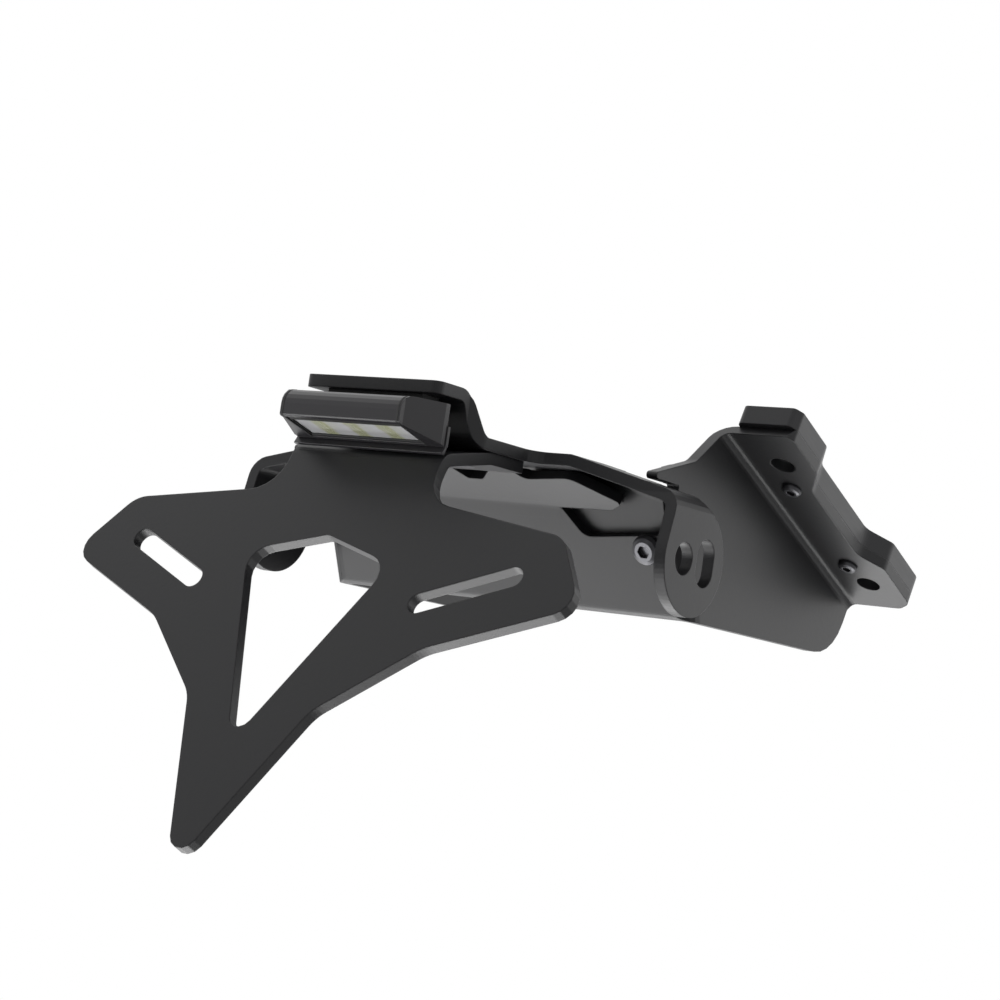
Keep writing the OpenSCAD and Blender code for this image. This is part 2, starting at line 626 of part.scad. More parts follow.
number_plate_bracket();
indicator_bracket();
mounting_bracket();
spacer_left();
spacer_right();
spacer_screws();
panel_screws();
panel_washers();
panel_nuts();
plate_bolts();
plate_washers();
plate_nuts();
lamp_housing();
lamp_cap_left();
lamp_cap_right();
lamp_lens();
lamp_board();
lamp_diodes();
lamp_back_cover();
lamp_pad();
lamp_screws();
lamp_grommet();
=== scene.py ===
import math

import bmesh
import bpy
from bpy.props import FloatProperty, FloatVectorProperty, PointerProperty
from mathutils import Matrix, Vector


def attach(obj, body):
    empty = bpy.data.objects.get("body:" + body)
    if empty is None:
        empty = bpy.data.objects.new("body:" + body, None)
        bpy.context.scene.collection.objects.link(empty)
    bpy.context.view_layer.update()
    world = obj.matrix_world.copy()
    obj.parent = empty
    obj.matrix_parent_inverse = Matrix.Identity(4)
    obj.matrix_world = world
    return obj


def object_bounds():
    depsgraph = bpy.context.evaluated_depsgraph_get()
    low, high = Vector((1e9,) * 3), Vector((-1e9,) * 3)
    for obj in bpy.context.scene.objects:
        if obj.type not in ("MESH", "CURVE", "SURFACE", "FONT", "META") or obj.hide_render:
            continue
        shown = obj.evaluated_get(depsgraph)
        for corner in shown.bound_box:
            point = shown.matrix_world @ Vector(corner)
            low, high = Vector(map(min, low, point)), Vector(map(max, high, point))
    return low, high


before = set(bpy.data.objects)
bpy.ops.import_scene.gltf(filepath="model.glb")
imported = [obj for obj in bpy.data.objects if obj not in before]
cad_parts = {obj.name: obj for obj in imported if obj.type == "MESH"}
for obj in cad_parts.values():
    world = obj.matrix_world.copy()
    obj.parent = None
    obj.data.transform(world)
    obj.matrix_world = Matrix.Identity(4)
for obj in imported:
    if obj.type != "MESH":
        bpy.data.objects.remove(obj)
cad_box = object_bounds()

bl_info = {
    "name": "Tail tidy",
    "version": (1, 0, 0),
    "blender": (4, 5, 0),
    "location": "View3D > Sidebar > Tail tidy",
    "description": "Finishes, lamp details, stage and camera for a motorcycle's tail tidy",
    "category": "Object",
}

SHEETS = ("number_plate_bracket", "indicator_bracket", "mounting_bracket")
SPACERS = ("spacer_left", "spacer_right")
FASTENERS = ("spacer_screws", "panel_screws", "panel_washers", "panel_nuts", "plate_bolts",
             "plate_washers", "plate_nuts", "lamp_screws")
LAMP_CASE = ("lamp_housing", "lamp_cap_left", "lamp_cap_right", "lamp_back_cover")
RUBBER = ("lamp_pad", "lamp_grommet")

# Bump depths of the finishes: coat, tool marks, steel, rubber and lens, moulded grain
COAT_DEPTH, MARK_DEPTH, STEEL_DEPTH = 0.00012, 0.00006, 0.00004
SOFT_DEPTH, GRAIN_DEPTH = 0.00005, 0.00003
EDGE_SAMPLES = 6
WHITE = (1.0, 1.0, 1.0)
BLACK = (0.0, 0.0, 0.0)

# Lamp bezel: width behind the lens, width at its ends, thickness and the rounding of its edges
BEZEL_BACK, BEZEL_END, BEZEL_THICK, BEZEL_ROUND = 0.0012, 0.0009, 0.0005, 0.00015
BEZEL_OVERLAP = 0.0002

# Board resistors: length, width, height and rounding, their step along the board, and their places as
# steps from its middle and shares of its width
RESISTOR_SIZE = (0.0021, 0.0012, 0.0006)
RESISTOR_ROUND = 0.00012
RESISTOR_STEP = 0.0125
RESISTOR_PLACES = ((-1.55, 0.36), (-0.55, 0.62), (-0.42, 0.34), (0.45, 0.38), (0.58, 0.64), (1.6, 0.4))

# Painted shade at the cap joints: a dark band stands in for the shaded groove at the step between case
# and cap; the width's shares at which the band leaves the case and is proud of it, and its sunk depth
SHADE_BAND_FOOT, SHADE_BAND_CREST, SHADE_BAND_SUNK = 1.0, 0.8, 0.0003

# Threads: facets in a turn, height, half width and distance from the screw's end as shares of the pitch,
# the depth that the root lies in the screw, and the facets over which a thread fades out
THREAD_FACETS = 28
THREAD_HEIGHT, THREAD_HALF, THREAD_SETBACK = 0.22, 0.4, 0.3
THREAD_ROOT = 0.0001
THREAD_FADE = 6

# Lights: their distance from the object's middle, the cone they shine in, and the ways they hang
LIGHT_DISTANCE = 1.1
LIGHT_SPREAD = math.radians(100)
LOW_LIGHT_SIZE, HIGH_LIGHT_SIZE = 0.9, 1.2
LIGHTS = (
    ("low_front_light", "low_front", (-0.58, 0.52, -0.63), LOW_LIGHT_SIZE),
    ("low_rear_light", "low_rear", (-0.58, -0.29, -0.76), LOW_LIGHT_SIZE),
    ("low_middle_light", "low_middle", (-0.12, 0.72, -0.69), LOW_LIGHT_SIZE),
    ("side_light", "side", (0.58, 0.72, 0.39), HIGH_LIGHT_SIZE),
    ("top_light", "top", (-0.58, -0.25, 0.78), HIGH_LIGHT_SIZE),
)

# Camera: its place, and the ways of its right side and its back
CAMERA_PLACE = (0.50231, -0.6829, -0.3873)
CAMERA_RIGHT = (0.81379, 0.46233, 0.35192)
CAMERA_BACK = (0.57723, -0.71527, -0.39383)
CAMERA_SENSOR = 36.0
CAMERA_NEAR, CAMERA_FAR = 0.01, 50.0


# Node graphs

class Socket:
    """An output of a shader node. Arithmetic with it adds Math nodes."""

    def __init__(self, graph, output):
        self.graph = graph
        self.output = output

    def math(self, operation, *values):
        """Adds a Math node on the values, this one among them."""
        return self.graph.add("ShaderNodeMath", {"operation": operation}, dict(enumerate(values)))

    def __add__(self, other):
        return self.math("ADD", self, other)

    def __radd__(self, other):
        return self.math("ADD", other, self)

    def __sub__(self, other):
        return self.math("SUBTRACT", self, other)

    def __rsub__(self, other):
        return self.math("SUBTRACT", other, self)

    def __mul__(self, other):
        return self.math("MULTIPLY", self, other)

    def __rmul__(self, other):
        return self.math("MULTIPLY", other, self)

    def __abs__(self):
        return self.math("ABSOLUTE", self)

    def sine(self):
        return self.math("SINE", self)

    def fraction(self):
        return self.math("FRACT", self)

    def highest(self, other):
        """The greater of this value and another."""
        return self.math("MAXIMUM", self, other)

    def ramp(self, start, end, low=0.0, high=1.0):
        """Goes from low to high, smoothly, as this value goes from start to end."""
        return self.graph.add("ShaderNodeMapRange", {"interpolation_type": "SMOOTHSTEP"},
                              {"Value": self, "From Min": start, "From Max": end,
                               "To Min": low, "To Max": high})


class Graph:
    """The nodes of a material or of the room."""

    def __init__(self, owner):
        owner.use_nodes = True
        self.owner = owner
        self.tree = owner.node_tree
        self.tree.nodes.clear()

    def add(self, kind, settings=None, sockets=None, output=0):
        """Adds a node, sets its settings, then links or fills its sockets, and returns one output."""
        node = self.tree.nodes.new(kind)
        for name, value in (settings or {}).items():
            setattr(node, name, value)
        for name, value in (sockets or {}).items():
            if isinstance(value, Socket):
                self.tree.links.new(value.output, node.inputs[name])
            else:
                node.inputs[name].default_value = value
        return Socket(self, node.outputs[output]) if len(node.outputs) else None


class Finish(Graph):
    """The nodes of one material."""

    def __init__(self, name):
        super().__init__(bpy.data.materials.new(name))
        self.place = self.add("ShaderNodeTexCoord", output="Object")

    def noise(self, scale, detail=2.0, rough=0.5, place=None):
        """Noise with about as many waves in a metre as the scale says."""
        return self.add("ShaderNodeTexNoise", {}, {"Vector": place or self.place, "Scale": scale,
                                                   "Detail": detail, "Roughness": rough})

    def mix(self, share, first, second):
        """Blends two colours."""
        def four(c):
            return c if isinstance(c, Socket) else (*c[:3], 1.0)
        return self.add("ShaderNodeMix", {"data_type": "RGBA"},
                        {0: share, 6: four(first), 7: four(second)}, output=2)

    def stretched(self, x, y, z):
        """Position with each axis scaled."""
        return self.add("ShaderNodeVectorMath", {"operation": "MULTIPLY"}, {0: self.place, 1: (x, y, z)})

    def axis(self, name):
        """One coordinate of the position."""
        return self.add("ShaderNodeSeparateXYZ", {}, {0: self.place}, output=name)

    def plain_normal(self):
        return self.add("ShaderNodeNewGeometry", output="Normal")

    def soft_edges(self, radius):
        """The surface's normal with its sharp edges rounded, and how near an edge is."""
        normal = self.add("ShaderNodeBevel", {"samples": EDGE_SAMPLES}, {"Radius": radius})
        flat = self.add("ShaderNodeNewGeometry", output="True Normal")
        facing = self.add("ShaderNodeVectorMath", {"operation": "DOT_PRODUCT"}, {0: normal, 1: flat},
                          output="Value")
        return normal, (1.0 - facing).ramp(0.01, 0.16)

    def bump(self, height, depth, strength, normal):
        """The normal, tilted by a height between 0 and 1 that stands for a depth in metres."""
        return self.add("ShaderNodeBump", {}, {"Height": height, "Distance": depth,
                                               "Strength": strength, "Normal": normal})

    def finish(self, sockets):
        """Ends the graph in a Principled surface and returns the material."""
        surface = self.add("ShaderNodeBsdfPrincipled", {}, sockets)
        self.add("ShaderNodeOutputMaterial", {}, {"Surface": surface})
        return self.owner


def scaled(colour, factor):
    """A colour made darker or paler."""
    return tuple(min(1.0, c * factor) for c in colour[:3])


# Finishes

def powder_coat(settings):
    """Black powder coat: a fine orange peel, with a painted highlight that makes the edges paler."""
    g = Finish("powder_coat")
    normal, edge = g.soft_edges(settings.edge_radius)
    cloud = g.noise(22.0, 3.0)
    peel = g.noise(settings.peel_scale, 2.0, 0.45)
    grain = g.noise(settings.peel_scale * 4.5, 1.0)
    colour = g.mix(cloud, scaled(settings.colour, 0.9), scaled(settings.colour, 1.1))
    # Painted highlight: the coat's colour turns paler near the edges
    colour = g.mix(edge * 0.5, colour, scaled(settings.colour, 1.9))
    rough = settings.roughness + (cloud - 0.5) * 0.07 + (grain - 0.5) * 0.06 - edge * 0.06
    return g.finish({"Base Color": colour, "Roughness": rough, "Specular IOR Level": settings.gloss,
                     "Normal": g.bump(peel * 0.75 + grain * 0.25, COAT_DEPTH, settings.peel, normal)})


def machined_coat(settings):
    """Spacers: black anodised metal with faint tool marks along the bar."""
    g = Finish("anodised_spacer")
    normal, edge = g.soft_edges(settings.edge_radius * 0.8)
    marks = g.noise(1.0, 2.0, 0.5, g.stretched(1400.0, 60.0, 1400.0))
    cloud = g.noise(40.0, 2.0)
    colour = g.mix(cloud, scaled(settings.spacer_colour, 0.85), scaled(settings.spacer_colour, 1.15))
    # Painted highlight: the spacers' colour turns paler near the edges
    colour = g.mix(edge * 0.6, colour, scaled(settings.spacer_colour, 2.2))
    rough = settings.roughness - 0.04 + (marks - 0.5) * 0.14
    return g.finish({"Base Color": colour, "Roughness": rough, "Specular IOR Level": settings.gloss,
                     "Normal": g.bump(marks, MARK_DEPTH, 0.35, normal)})


def black_steel(settings):
    """Screws, washers and nuts: blackened steel, with a painted highlight that makes the edges brighter.
    """
    g = Finish("black_steel")
    normal, edge = g.soft_edges(0.00025)
    cloud = g.noise(260.0, 3.0, 0.6)
    grain = g.noise(2600.0, 2.0)
    colour = g.mix(cloud, scaled(settings.colour, 0.75), scaled(settings.colour, 1.25))
    # Painted highlight: the steel's colour turns brighter near the edges
    colour = g.mix(edge * 0.7, colour, scaled(settings.colour, 3.0))
    rough = settings.roughness + (cloud - 0.5) * 0.2 - edge * 0.1
    return g.finish({"Base Color": colour, "Roughness": rough, "Metallic": 0.85,
                     "Normal": g.bump(grain, STEEL_DEPTH, 0.3, normal)})


def case_plastic(settings):
    """Lamp case: dark moulded plastic with a fine spark-eroded grain."""
    g = Finish("case_plastic")
    normal, edge = g.soft_edges(0.0004)
    grain = g.noise(3200.0, 2.0, 0.6)
    cloud = g.noise(60.0, 2.0)
    colour = g.mix(cloud, scaled(settings.case_colour, 0.88), scaled(settings.case_colour, 1.12))
    # Painted highlight: the case's colour turns paler near the edges
    colour = g.mix(edge * 0.35, colour, scaled(settings.case_colour, 2.0))
    rough = settings.case_roughness + (cloud - 0.5) * 0.08 + (grain - 0.5) * 0.1
    return g.finish({"Base Color": colour, "Roughness": rough, "Specular IOR Level": 0.4,
                     "Normal": g.bump(grain, GRAIN_DEPTH, 0.35, normal)})


def clear_lens(settings):
    """Lamp lens: hazy plastic with shallow flutes, tinted where a diode's gel shows through it."""
    g = Finish("clear_lens")
    flutes = (g.axis("X") * (2 * math.pi / settings.flute_pitch)).sine()
    wear = g.noise(420.0, 3.0, 0.6)
    # The whole number keeps the fraction above 0; its half puts a diode in the middle of the lamp.
    place = g.axis("X") * (1 / settings.diode_pitch) + 100.5
    beside = abs((place + (wear - 0.5) * 0.2).fraction() - 0.5)
    colour = g.mix(beside.ramp(0.1, 0.3, 0.75, 0.0), settings.lens_colour, settings.glow_colour)
    rough = 0.12 + wear * 0.12
    normal, _ = g.soft_edges(0.0002)
    return g.finish({"Base Color": colour, "Roughness": rough,
                     "Alpha": settings.lens_haze, "IOR": 1.49,
                     "Normal": g.bump(flutes * 0.5 + wear * 0.3, SOFT_DEPTH, 0.4, normal)})


def white_board(settings):
    """Lamp board: white solder resist with faint copper tracks under it."""
    g = Finish("white_board")
    along, across = g.axis("X"), g.axis("Y")
    tracks = abs(across * 700.0 + g.noise(90.0, 1.0) * 0.8).fraction()
    cloud = g.noise(160.0, 2.0)
    pads = abs(along * 160.0).fraction().ramp(0.82, 0.9)
    colour = g.mix(tracks.ramp(0.45, 0.55) * 0.25, settings.board_colour,
                   scaled(settings.board_colour, 0.72))
    colour = g.mix(pads * 0.35, colour, (0.32, 0.31, 0.36))
    rough = 0.3 + cloud * 0.15
    return g.finish({"Base Color": colour, "Roughness": rough,
                     "Normal": g.bump(tracks, GRAIN_DEPTH, 0.3, g.plain_normal())})


def diode_gel(settings):
    """Yellow phosphor gel in the middle of each diode, in a white frame."""
    g = Finish("diode_gel")
    cloud = g.noise(500.0, 2.0)
    colour = g.mix(cloud, scaled(settings.gel_colour, 0.85), scaled(settings.gel_colour, 1.1))
    return g.finish({"Base Color": colour, "Roughness": 0.22 + cloud * 0.1, "Specular IOR Level": 0.6,
                     "Normal": g.bump(cloud, STEEL_DEPTH, 0.3, g.plain_normal())})


def rubber(settings):
    """Pad and grommet: dull black rubber."""
    g = Finish("rubber")
    normal, _ = g.soft_edges(0.0003)
    cloud = g.noise(120.0, 3.0)
    grain = g.noise(1800.0, 2.0)
    colour = g.mix(cloud, (0.018, 0.018, 0.018), (0.03, 0.03, 0.03))
    return g.finish({"Base Color": colour, "Roughness": 0.74 + (grain - 0.5) * 0.15,
                     "Specular IOR Level": 0.4, "Normal": g.bump(grain, SOFT_DEPTH, 0.5, normal)})


def plain_floor(settings):
    """Pale floor that looks as pale as the background and keeps the object's shadow."""
    g = Finish("pale_floor")
    cloud = g.noise(3.0, 2.0)
    colour = g.mix(cloud, scaled(settings.floor_colour, 0.985), settings.floor_colour)
    seen = g.mix(g.add("ShaderNodeLightPath", output="Is Camera Ray"), BLACK, settings.floor_glow)
    return g.finish({"Base Color": colour, "Roughness": 0.85 + cloud * 0.1, "Specular IOR Level": 0.2,
                     "Emission Color": seen, "Emission Strength": 1.0})


def dress(names, material):
    """Gives CAD nodes a material."""
    for name in names:
        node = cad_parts[name]
        node.data.materials.clear()
        node.data.materials.append(material)


def new_piece(name, mesh, material):
    """Adds a mesh as a piece of the object that rides on its one body."""
    data = bpy.data.meshes.new(name)
    mesh.to_mesh(data)
    mesh.free()
    data.materials.append(material)
    piece = bpy.data.objects.new(name, data)
    bpy.context.scene.collection.objects.link(piece)
    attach(piece, "root")
    return piece


# Pieces

def flat_side(mesh, way):
    """Normal and faces of the outermost flat side of a mesh that faces a way."""
    facing = [f for f in mesh.polygons if f.normal.dot(Vector(way)) > 0.5]
    outer = max(facing, key=lambda f: f.center.dot(f.normal))
    reach = outer.center.dot(outer.normal)
    faces = [f for f in mesh.polygons
             if f.normal.dot(outer.normal) > 0.9999 and abs(f.center.dot(outer.normal) - reach) < 2e-5]
    return outer.normal.copy(), faces


def corners_of(mesh, faces):
    """Corners of faces, each once."""
    return [mesh.vertices[i].co.copy() for i in sorted({i for f in faces for i in f.vertices})]


def rim_of(mesh, faces):
    """Corners round the rim of flat faces, in order."""
    used = {}
    for face in faces:
        for a, b in face.edge_keys:
            used[a, b] = used.get((a, b), 0) + 1
    beside = {}
    for (a, b), count in used.items():
        if count == 1:
            beside.setdefault(a, []).append(b)
            beside.setdefault(b, []).append(a)
    start = min(beside)
    rim, last = [start], None
    while True:
        following = next(i for i in beside[rim[-1]] if i != last)
        if following == start:
            return [mesh.vertices[i].co.copy() for i in rim]
        last = rim[-1]
        rim.append(following)


def add_block(mesh, corner, along, across, deep, bevel):
    """A block with rounded edges, from one corner and its three sides."""
    block = bmesh.new()
    points = [block.verts.new(corner + i * along + j * across + k * deep)
              for i in (0, 1) for j in (0, 1) for k in (0, 1)]
    for ring in ((0, 1, 3, 2), (4, 6, 7, 5), (0, 4, 5, 1), (2, 3, 7, 6), (0, 2, 6, 4), (1, 5, 7, 3)):
        block.faces.new([points[i] for i in ring])
    bmesh.ops.recalc_face_normals(block, faces=block.faces)
    bmesh.ops.bevel(block, geom=block.edges[:], offset=bevel, segments=2, profile=0.5, affect="EDGES")
    data = bpy.data.meshes.new("block")
    block.to_mesh(data)
    block.free()
    mesh.from_mesh(data)
    bpy.data.meshes.remove(data)


def lens_frame():
    """A corner of the lens's outer face at the nose, and its way along, across and inward."""
    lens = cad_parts["lamp_lens"].data
    outward, faces = flat_side(lens, (0, 0, -1))
    along = Vector((1, 0, 0))
    across = along.cross(outward)
    if across.y < 0:
        across.negate()
    corners = corners_of(lens, faces)
    corner = min(corners, key=lambda c: c.dot(along) + c.dot(across))
    size = [max((c - corner).dot(way) for c in corners) for way in (along, across)]
    return corner, along, across, -outward, size


def lamp_bezel(settings, material):
    """Dark frame pressed in over the lens's edges, widest at the nose."""
    corner, along, across, inward, (length, width) = lens_frame()
    nose = settings.bezel_nose
    start = corner - inward * BEZEL_THICK
    deep = inward * BEZEL_THICK
    side = across * (width - BEZEL_BACK - nose + 2 * BEZEL_OVERLAP)
    mesh = bmesh.new()
    for place, breadth in ((0.0, nose), (width - BEZEL_BACK, BEZEL_BACK)):
        add_block(mesh, start + across * place, along * length, across * breadth, deep, BEZEL_ROUND)
    for place in (0.0, length - BEZEL_END):
        add_block(mesh, start + along * place + across * (nose - BEZEL_OVERLAP), along * BEZEL_END,
                  side, deep, BEZEL_ROUND)
    return new_piece("lamp_bezel", mesh, material)


def board_resistors(material):
    """Small parts soldered on the board between the diodes."""
    corner, along, across, inward, (length, width) = lens_frame()
    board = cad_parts["lamp_board"].data
    _, faces = flat_side(board, (0, 0, -1))
    depth = (faces[0].center - corner).dot(inward)
    long, wide, tall = RESISTOR_SIZE
    middle = corner + along * length / 2 + inward * depth
    mesh = bmesh.new()
    for step, share in RESISTOR_PLACES:
        place = middle + along * (step * RESISTOR_STEP - long / 2) + across * width * share
        add_block(mesh, place, along * long, across * wide, -inward * tall, RESISTOR_ROUND)
    return new_piece("board_resistors", mesh, material)


def cap_joint_shade(settings, material):
    """Painted shade: thin dark bands in the joints between the lamp's housing and its end caps, standing
    in for the shaded groove at the step there.
    """
    mesh = bmesh.new()
    for name, way in (("lamp_cap_right", -1), ("lamp_cap_left", 1)):
        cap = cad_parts[name].data
        inward, faces = flat_side(cap, (way, 0, 0))
        rim = rim_of(cap, faces)
        middle = sum(rim, Vector()) / len(rim)
        rings = []
        for shift, proud in ((-SHADE_BAND_FOOT, -SHADE_BAND_SUNK), (-SHADE_BAND_CREST, settings.shade_band_proud),
                             (SHADE_BAND_CREST, settings.shade_band_proud), (SHADE_BAND_FOOT, -SHADE_BAND_SUNK)):
            rings.append([mesh.verts.new(
                point + (point - middle).normalized() * proud + inward * shift * settings.shade_band_width / 2)
                for point in rim])
        count = len(rim)
        for near, far in zip(rings, rings[1:] + rings[:1]):
            for i in range(count):
                j = (i + 1) % count
                mesh.faces.new((near[i], near[j], far[j], far[i]))
    bmesh.ops.recalc_face_normals(mesh, faces=mesh.faces)
    return new_piece("lamp_cap_seals", mesh, material)


def screw_threads(name, material, radius, length, pitch):
    """Helical threads on the ends of the two screws of a node, which are plain in the CAD."""
    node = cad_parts[name].data
    axis, faces = flat_side(node, (0, 0.5, 0.8))
    corners = corners_of(node, faces)
    height, half = THREAD_HEIGHT * pitch, THREAD_HALF * pitch
    turns = int(length / pitch * THREAD_FACETS)
    mesh = bmesh.new()
    for side in (-1, 1):
        rim = [c for c in corners if c.x * side > 0]
        end = sum(rim, Vector()) / len(rim)
        first = (rim[0] - end).normalized()
        second = axis.cross(first)
        last = None
        for i in range(turns + 1):
            angle = 2 * math.pi * i / THREAD_FACETS
            out = first * math.cos(angle) + second * math.sin(angle)
            fade = min(1.0, i / THREAD_FADE, (turns - i) / THREAD_FADE)
            base = end - axis * pitch * (THREAD_SETBACK + i / THREAD_FACETS)
            root = base + out * (radius - THREAD_ROOT)
            section = (root + axis * half, base + out * (radius + height * fade), root - axis * half)
            ring = [mesh.verts.new(point) for point in section]
            if last:
                for a in range(3):
                    b = (a + 1) % 3
                    mesh.faces.new((last[a], last[b], ring[b], ring[a]))
            else:
                mesh.faces.new(ring)
            last = ring
        mesh.faces.new(last[::-1])
    bmesh.ops.recalc_face_normals(mesh, faces=mesh.faces)
    return new_piece(name + "_threads", mesh, material)


# Settings

class SheetSettings(bpy.types.PropertyGroup):
    """Finish of the folded sheets and the spacers"""

    colour: FloatVectorProperty(name="Coat colour", description="Colour of the powder coat",
                                subtype="COLOR", default=(0.013, 0.013, 0.0142), min=0.0, max=1.0)
    roughness: FloatProperty(name="Roughness", description="Roughness of the coat", subtype="FACTOR",
                             default=0.42, min=0.0, max=1.0)
    gloss: FloatProperty(name="Gloss", description="Strength of the coat's reflection", subtype="FACTOR",
                         default=0.28, min=0.0, max=1.0)
    peel: FloatProperty(name="Orange peel", description="Strength of the coat's fine waves",
                        subtype="FACTOR", default=0.25, min=0.0, max=1.0)
    peel_scale: FloatProperty(name="Peel scale", description="Waves of the coat in a metre",
                              default=620.0, min=50.0, max=5000.0)
    edge_radius: FloatProperty(name="Edge radius", description="Radius of the coated edges",
                               unit="LENGTH", default=0.0006, min=0.0, max=0.002)
    spacer_colour: FloatVectorProperty(name="Spacer colour", description="Colour of the spacers",
                                       subtype="COLOR", default=(0.027, 0.027, 0.029), min=0.0, max=1.0)


class SteelSettings(bpy.types.PropertyGroup):
    """Finish of the screws, washers and nuts"""

    colour: FloatVectorProperty(name="Steel colour", description="Colour of the blackened steel",
                                subtype="COLOR", default=(0.07, 0.07, 0.075), min=0.0, max=1.0)
    roughness: FloatProperty(name="Roughness", description="Roughness of the steel", subtype="FACTOR",
                             default=0.36, min=0.0, max=1.0)


class ThreadSettings(bpy.types.PropertyGroup):
    """Threads on the ends of the larger screws"""

    pitch: FloatProperty(name="Pitch", description="Rise of the thread in a turn", unit="LENGTH",
                         default=0.001, min=0.0005, max=0.002)
    length: FloatProperty(name="Length", description="Length of the thread that shows past the nut",
                          unit="LENGTH", default=0.0017, min=0.0005, max=0.005)
    radius: FloatProperty(name="Radius", description="Radius of the screws", unit="LENGTH",
                          default=0.003, min=0.001, max=0.006)


class LampSettings(bpy.types.PropertyGroup):
    """Finishes and diodes of the number plate lamp"""

    case_colour: FloatVectorProperty(name="Case colour", description="Colour of the lamp's case",
                                     subtype="COLOR", default=(0.018, 0.0172, 0.0195), min=0.0, max=1.0)
    case_roughness: FloatProperty(name="Case roughness", description="Roughness of the case",
                                  subtype="FACTOR", default=0.36, min=0.0, max=1.0)
    lens_colour: FloatVectorProperty(name="Lens colour", description="Tint of the lens", subtype="COLOR",
                                     default=(0.93, 0.93, 0.95), min=0.0, max=1.0)
    lens_haze: FloatProperty(name="Lens haze", description="Share of the light that the lens stops",
                             subtype="FACTOR", default=0.45, min=0.0, max=1.0)
    glow_colour: FloatVectorProperty(name="Glow colour", description="Tint of the lens under a diode",
                                     subtype="COLOR", default=(0.62, 0.65, 0.3), min=0.0, max=1.0)
    diode_pitch: FloatProperty(name="Diode pitch", description="Distance between the diodes",
                               unit="LENGTH", default=0.013, min=0.005, max=0.03)
    board_colour: FloatVectorProperty(name="Board colour", description="Colour of the circuit board",
                                      subtype="COLOR", default=(0.84, 0.82, 0.92), min=0.0, max=1.0)
    gel_colour: FloatVectorProperty(name="Diode colour", description="Colour of the diodes' gel",
                                    subtype="COLOR", default=(0.72, 0.66, 0.22), min=0.0, max=1.0)
    bezel_nose: FloatProperty(name="Bezel", description="Width of the lens's frame at the nose",
                              unit="LENGTH", default=0.0028, min=0.0005, max=0.005)
    # Painted shade: width and height of the dark band that stands in for the shaded groove at each end
    # cap
    shade_band_width: FloatProperty(name="Shade band width", description="Width of the painted shade band beside an end cap",
                              unit="LENGTH", default=0.0009, min=0.0002, max=0.002)
    shade_band_proud: FloatProperty(name="Shade band height", description="Height of the painted shade band over the case",
                              unit="LENGTH", default=0.00008, min=0.0, max=0.0005)
    flute_pitch: FloatProperty(name="Flute pitch", description="Distance between flutes of the lens",
                               unit="LENGTH", default=0.0012, min=0.0005, max=0.01)


class StageSettings(bpy.types.PropertyGroup):
    """Floor, lights and camera"""

    floor_z: FloatProperty(name="Floor height", description="Height of the floor", unit="LENGTH",
                           default=-1.3, min=-3.0, max=-1.2)
    floor_size: FloatProperty(name="Floor size", description="Side of the floor", unit="LENGTH",
                              default=8.0, min=1.0, max=40.0)
    floor_colour: FloatVectorProperty(name="Floor colour", description="Colour of the floor",
                                      subtype="COLOR", default=(0.95, 0.95, 0.95), min=0.0, max=1.0)
    floor_glow: FloatVectorProperty(name="Floor glow", subtype="COLOR", default=(0.5, 0.5, 0.5),
                                    description="White that only the camera sees on the floor",
                                    min=0.0, max=1.0)
    sky: FloatProperty(name="Room light", description="Strength of the even light from all round",
                       default=0.45, min=0.0, max=2.0)
    low_front: FloatProperty(name="Low front light", description="Power of the light below the front",
                             default=2.5, min=0.0, max=100.0)
    low_rear: FloatProperty(name="Low rear light", description="Power of the light below the plate",
                            default=4.4, min=0.0, max=100.0)
    low_middle: FloatProperty(name="Low middle light", description="Power of the light under the tail",
                              default=4.5, min=0.0, max=100.0)
    side: FloatProperty(name="Side light", description="Power of the light on the right",
                        default=1.2, min=0.0, max=100.0)
    top: FloatProperty(name="Top light", description="Power of the light above", default=1.0,
                       min=0.0, max=100.0)
    lens: FloatProperty(name="Camera lens", description="Focal length for a 36 mm sensor", default=91.8,
                        min=10.0, max=300.0)


# Operators

class TAILTIDY_OT_sheets(bpy.types.Operator):
    """Coat the three folded sheets and the spacers"""

    bl_idname = "tailtidy.sheets"
    bl_label = "Coat sheets and spacers"

    def execute(self, context):
        settings = context.scene.tailtidy_sheets
        dress(SHEETS, powder_coat(settings))
        dress(SPACERS, machined_coat(settings))
        return {"FINISHED"}


class TAILTIDY_OT_fasteners(bpy.types.Operator):
    """Blacken the screws, washers and nuts"""

    bl_idname = "tailtidy.fasteners"
    bl_label = "Blacken fasteners"

    def execute(self, context):
        dress(FASTENERS, black_steel(context.scene.tailtidy_steel))
        return {"FINISHED"}


class TAILTIDY_OT_threads(bpy.types.Operator):
    """Cut threads on the ends of the panel screws and the plate bolts"""

    bl_idname = "tailtidy.threads"
    bl_label = "Cut threads"

    def execute(self, context):
        settings = context.scene.tailtidy_threads
        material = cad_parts["panel_screws"].data.materials[0]
        for name in ("panel_screws", "plate_bolts"):
            screw_threads(name, material, settings.radius, settings.length, settings.pitch)
        return {"FINISHED"}


class TAILTIDY_OT_lamp(bpy.types.Operator):
    """Finish the number plate lamp"""

    bl_idname = "tailtidy.lamp"
    bl_label = "Finish lamp"

    def execute(self, context):
        settings = context.scene.tailtidy_lamp
        case, seal = case_plastic(settings), rubber(settings)
        dress(LAMP_CASE, case)
        dress(("lamp_lens",), clear_lens(settings))
        dress(("lamp_board",), white_board(settings))
        dress(("lamp_diodes",), diode_gel(settings))
        dress(RUBBER, seal)
        lamp_bezel(settings, seal)
        # Painted shade: dark bands in the cap joints stand in for the shaded groove there
        cap_joint_shade(settings, seal)
        board_resistors(seal)
        return {"FINISHED"}


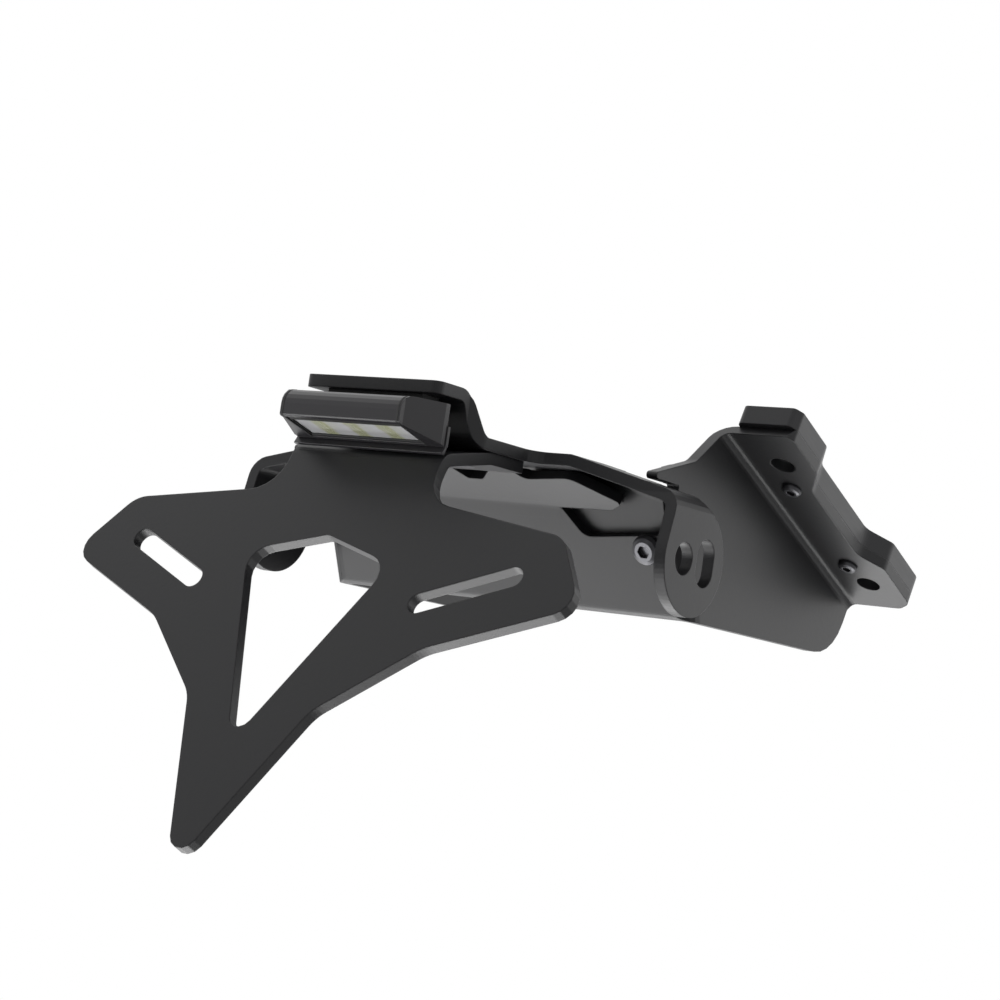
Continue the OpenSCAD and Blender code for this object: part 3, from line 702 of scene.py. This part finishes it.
class TAILTIDY_OT_stage(bpy.types.Operator):
    """Lay the floor, hang the lights and place the camera"""

    bl_idname = "tailtidy.stage"
    bl_label = "Build stage"

    def execute(self, context):
        settings = context.scene.tailtidy_stage
        lay_floor(settings)
        light_room(context.scene, settings)
        place_camera(context.scene, settings)
        return {"FINISHED"}


def lay_floor(settings):
    """A flat floor far below the object."""
    mesh = bmesh.new()
    bmesh.ops.create_grid(mesh, x_segments=8, y_segments=8, size=settings.floor_size / 2)
    data = bpy.data.meshes.new("floor")
    mesh.to_mesh(data)
    mesh.free()
    data.materials.append(plain_floor(settings))
    floor = bpy.data.objects.new("floor", data)
    floor.location = (0.0, 0.0, settings.floor_z)
    bpy.context.scene.collection.objects.link(floor)


def hang_light(name, way, size, power):
    """A square soft light that shines on the object's middle from the way given."""
    lamp = bpy.data.lights.new(name, "AREA")
    lamp.size = size
    lamp.spread = LIGHT_SPREAD
    lamp.energy = power
    light = bpy.data.objects.new(name, lamp)
    middle = sum((Vector(corner) for corner in cad_box), Vector()) / 2
    light.location = middle + LIGHT_DISTANCE * Vector(way).normalized()
    light.rotation_mode = "QUATERNION"
    light.rotation_quaternion = (-Vector(way)).to_track_quat("-Z", "Y")
    light.visible_camera = False
    bpy.context.scene.collection.objects.link(light)


def light_room(scene, settings):
    """Even light from all round, which looks white to the camera and in reflections, and soft lights."""
    for name, power, way, size in LIGHTS:
        hang_light(name, way, size, getattr(settings, power))
    scene.world = bpy.data.worlds.new("room")
    g = Graph(scene.world)
    camera, glossy, through = (g.add("ShaderNodeLightPath", output=name)
                               for name in ("Is Camera Ray", "Is Glossy Ray", "Is Transmission Ray"))
    white, even = (g.add("ShaderNodeBackground", {}, {"Color": (*WHITE, 1.0), "Strength": strength})
                   for strength in (1.0, settings.sky))
    seen = camera.highest(glossy).highest(through)
    choice = g.add("ShaderNodeMixShader", {}, {0: seen, 1: even, 2: white})
    g.add("ShaderNodeOutputWorld", {}, {"Surface": choice})


def place_camera(scene, settings):
    """A camera below and behind the right side, turned about its own axis as the photograph is."""
    right = Vector(CAMERA_RIGHT).normalized()
    back = Vector(CAMERA_BACK).normalized()
    up = back.cross(right).normalized()
    right = up.cross(back)
    data = bpy.data.cameras.new("camera")
    data.sensor_width = CAMERA_SENSOR
    data.lens = settings.lens
    data.clip_start, data.clip_end = CAMERA_NEAR, CAMERA_FAR
    camera = bpy.data.objects.new("camera", data)
    scene.collection.objects.link(camera)
    turn = Matrix((right, up, back)).transposed().to_4x4()
    camera.matrix_world = Matrix.Translation(CAMERA_PLACE) @ turn
    scene.camera = camera
    scene.view_settings.view_transform = "Standard"


class TAILTIDY_PT_panel(bpy.types.Panel):
    """Lists what finishes the tail tidy and builds its stage"""

    bl_label = "Tail tidy"
    bl_idname = "TAILTIDY_PT_panel"
    bl_space_type = "VIEW_3D"
    bl_region_type = "UI"
    bl_category = "Tail tidy"

    def draw(self, context):
        layout = self.layout
        for operator, group in ORDER:
            box = layout.box()
            box.operator(operator)
            settings = getattr(context.scene, group)
            for name in settings.__annotations__:
                box.prop(settings, name)


ORDER = (
    ("tailtidy.stage", "tailtidy_stage"),
    ("tailtidy.sheets", "tailtidy_sheets"),
    ("tailtidy.fasteners", "tailtidy_steel"),
    ("tailtidy.threads", "tailtidy_threads"),
    ("tailtidy.lamp", "tailtidy_lamp"),
)
GROUPS = {
    "tailtidy_stage": StageSettings,
    "tailtidy_sheets": SheetSettings,
    "tailtidy_steel": SteelSettings,
    "tailtidy_threads": ThreadSettings,
    "tailtidy_lamp": LampSettings,
}
CLASSES = (
    SheetSettings,
    SteelSettings,
    ThreadSettings,
    LampSettings,
    StageSettings,
    TAILTIDY_OT_sheets,
    TAILTIDY_OT_fasteners,
    TAILTIDY_OT_threads,
    TAILTIDY_OT_lamp,
    TAILTIDY_OT_stage,
    TAILTIDY_PT_panel,
)


def register():
    for cls in CLASSES:
        bpy.utils.register_class(cls)
    for name, group in GROUPS.items():
        setattr(bpy.types.Scene, name, PointerProperty(type=group))


def unregister():
    for name in GROUPS:
        delattr(bpy.types.Scene, name)
    for cls in reversed(CLASSES):
        bpy.utils.unregister_class(cls)


def main():
    register()
    for operator, _ in ORDER:
        group, name = operator.split(".")
        getattr(getattr(bpy.ops, group), name)()


if __name__ == "__main__":
    main()
